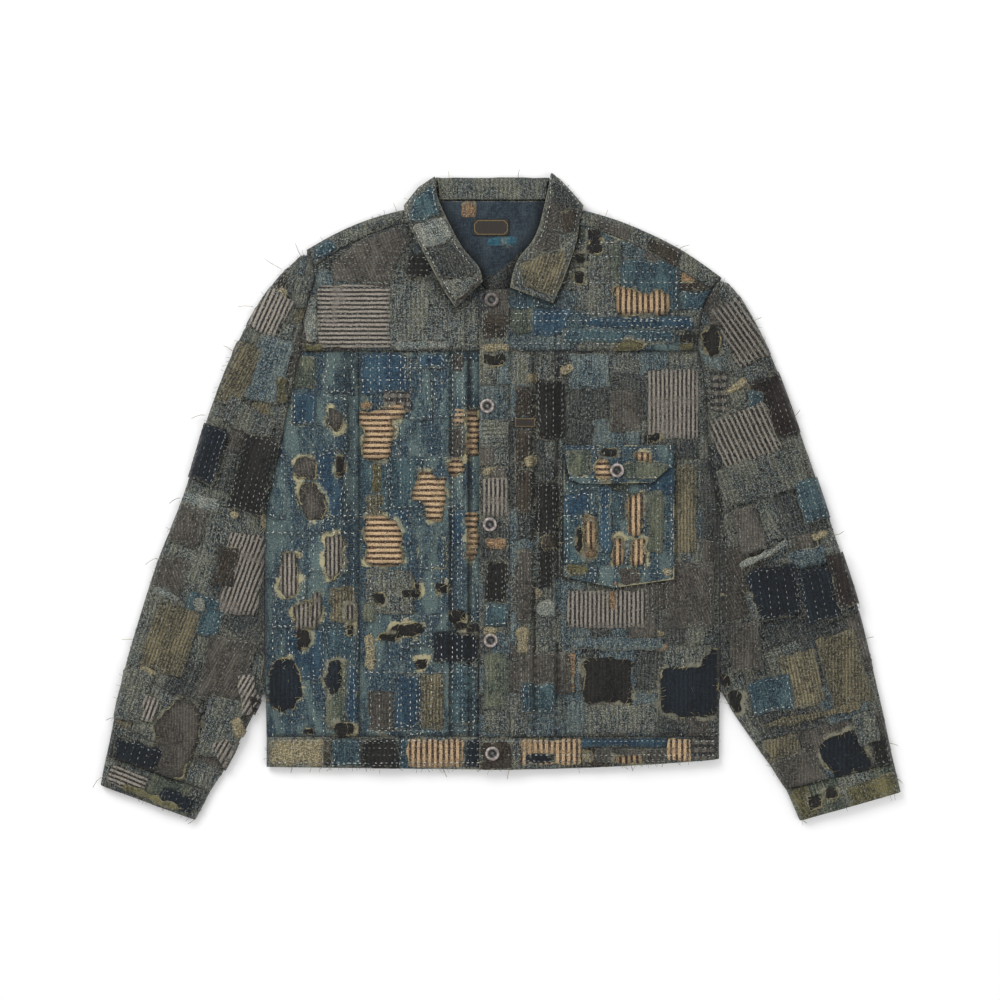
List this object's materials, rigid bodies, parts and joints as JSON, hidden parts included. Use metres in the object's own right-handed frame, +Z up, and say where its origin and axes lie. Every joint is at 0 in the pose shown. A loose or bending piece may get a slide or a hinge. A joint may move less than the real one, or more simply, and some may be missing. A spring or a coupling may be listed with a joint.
{
  "type": "patched boro jacket",
  "caption": "Worn work jacket of indigo patchwork with running stitches, laid flat on its back with its front buttoned and its sleeves down.",
  "frame": {"origin": "middle of the underside, on the surface the jacket lies on", "axes": "+Z up off the surface, +Y from the hem to the collar, +X towards the wearer's left"},
  "size_m": [0.921, 0.745, 0.02],
  "materials": {
    "body_cloth": "matte woven",
    "yoke_cloth": "matte woven",
    "band_cloth": "matte woven",
    "sleeve_cloth": "matte woven",
    "collar_cloth": "matte woven",
    "lining_cloth": "matte woven",
    "pocket_cloth": "matte woven",
    "label_weave": "matte woven",
    "horn": "worn grey button"
  },
  "bodies": {
    "root": {"front_side_panel_right": "body_cloth", "front_panel_right": "body_cloth", "front_panel_left": "body_cloth", "front_yoke_right": "yoke_cloth", "front_yoke_left": "yoke_cloth", "buttonhole_band": "body_cloth", "waistband_front_right": "band_cloth", "waistband_front_left": "band_cloth", "waistband_back": "band_cloth", "back_panel": "body_cloth", "back_yoke": "yoke_cloth", "sleeve_right": "sleeve_cloth", "cuff_right": "band_cloth", "sleeve_left": "sleeve_cloth", "cuff_left": "band_cloth", "collar_leaf_right": "collar_cloth", "collar_leaf_left": "collar_cloth", "collar_back": "collar_cloth", "neck_lining": "lining_cloth", "neck_label": "label_weave", "pocket": "pocket_cloth", "pocket_flap": "pocket_cloth", "chest_tag": "label_weave", "button_neck": "horn", "button_chest": "horn", "button_waist": "horn", "button_low": "horn", "button_hem": "horn", "button_pocket": "horn"}
  },
  "joints": []
}
